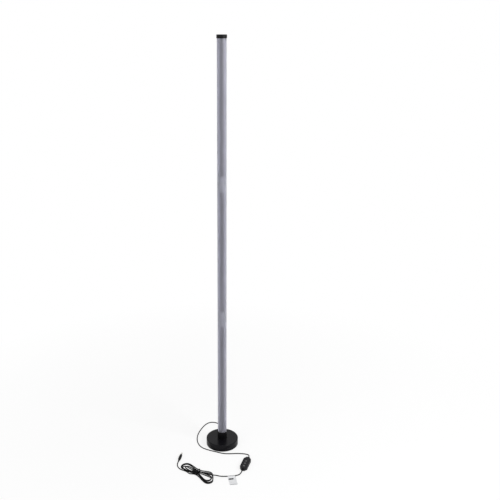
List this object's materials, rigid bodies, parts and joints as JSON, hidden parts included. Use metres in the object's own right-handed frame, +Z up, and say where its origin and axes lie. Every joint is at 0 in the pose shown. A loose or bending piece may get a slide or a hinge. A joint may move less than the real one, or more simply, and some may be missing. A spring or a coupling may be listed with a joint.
{
  "type": "corner floor lamp",
  "caption": "Slim corner floor lamp: frosted light pole in push-fit sections on a round weighted base, with a low-voltage lead, in-line push-button controller, tied hank and barrel plug.",
  "frame": {"origin": "on the floor under the axis of the pole, at the centre of the round base", "axes": "+Z up along the pole, -Y to the front, the lead leaves the base at +Y"},
  "size_m": [0.2478, 0.3694, 1.4],
  "materials": {
    "base_abs": "fine-textured black ABS with a soft sheen",
    "collar_abs": "satin black ABS",
    "foot_rubber": "matt black rubber",
    "weight_iron": "raw grey iron",
    "screw_steel": "zinc-plated steel",
    "relief_pvc": "moulded soft black PVC",
    "lead_pvc": "smooth black PVC",
    "clamp_nylon": "black nylon",
    "tube_frosted": "frosted polycarbonate",
    "joiner_clear": "milky polycarbonate",
    "carrier_aluminium": "anodised",
    "strip_board": "white solder mask",
    "clip_nylon": "natural nylon",
    "link_nylon": "white nylon",
    "case_abs": "satin black ABS",
    "button_abs": "glossy black ABS",
    "board_laminate": "green solder mask",
    "chip_epoxy": "black epoxy",
    "switch_nylon": "black nylon",
    "can_steel": "plain steel can",
    "receiver_epoxy": "dark epoxy",
    "tie_pvc": "soft black strap",
    "tag_film": "white film",
    "plug_pvc": "moulded black PVC",
    "plug_nickel": "nickel plate",
    "plug_core": "black insulator"
  },
  "bodies": {
    "lamp": {"foot_ring": "foot_rubber", "base_tray": "base_abs", "base_cover": "base_abs", "base_weight": "weight_iron", "base_screws": "screw_steel", "socket_collar": "collar_abs", "collar_screws": "screw_steel", "base_strain_relief": "relief_pvc", "lead_clamp": "clamp_nylon", "clamp_screws": "screw_steel", "base_lead": "lead_pvc", "lower_tube": "tube_frosted", "middle_tube": "tube_frosted", "upper_tube": "tube_frosted", "lower_joiner": "joiner_clear", "upper_joiner": "joiner_clear", "bottom_insert": "joiner_clear", "lower_carrier": "carrier_aluminium", "middle_carrier": "carrier_aluminium", "upper_carrier": "carrier_aluminium", "lower_light_strip": "strip_board", "middle_light_strip": "strip_board", "upper_light_strip": "strip_board", "carrier_clips": "clip_nylon", "strip_links": "link_nylon", "top_cap": "collar_abs", "controller_bottom_case": "case_abs", "controller_top_case": "case_abs", "controller_board": "board_laminate", "driver_chip": "chip_epoxy", "button_switches": "switch_nylon", "microphone": "can_steel", "remote_receiver": "receiver_epoxy", "controller_screws": "screw_steel", "controller_lamp_relief": "relief_pvc", "controller_plug_relief": "relief_pvc", "cord_lamp_to_controller": "lead_pvc", "cord_controller_to_hank": "lead_pvc", "cord_hank": "lead_pvc", "cord_tail": "lead_pvc", "hank_tie": "tie_pvc", "cord_tag": "tag_film", "plug_body": "plug_pvc", "plug_barrel": "plug_nickel", "plug_insulator": "plug_core"},
    "power_button": {"power_button": "button_abs"},
    "colour_button": {"colour_button": "button_abs"},
    "mode_button": {"mode_button": "button_abs"}
  },
  "joints": [
    {"name": "power_press", "type": "slide", "parent": "lamp", "child": "power_button", "axis": [0, 0, -1], "range_m": [0, 0.0005], "stiffness_N_per_m": 600, "springref_m": -0.001},
    {"name": "colour_press", "type": "slide", "parent": "lamp", "child": "colour_button", "axis": [0, 0, -1], "range_m": [0, 0.0005], "stiffness_N_per_m": 600, "springref_m": -0.001},
    {"name": "mode_press", "type": "slide", "parent": "lamp", "child": "mode_button", "axis": [0, 0, -1], "range_m": [0, 0.0005], "stiffness_N_per_m": 600, "springref_m": -0.001}
  ]
}
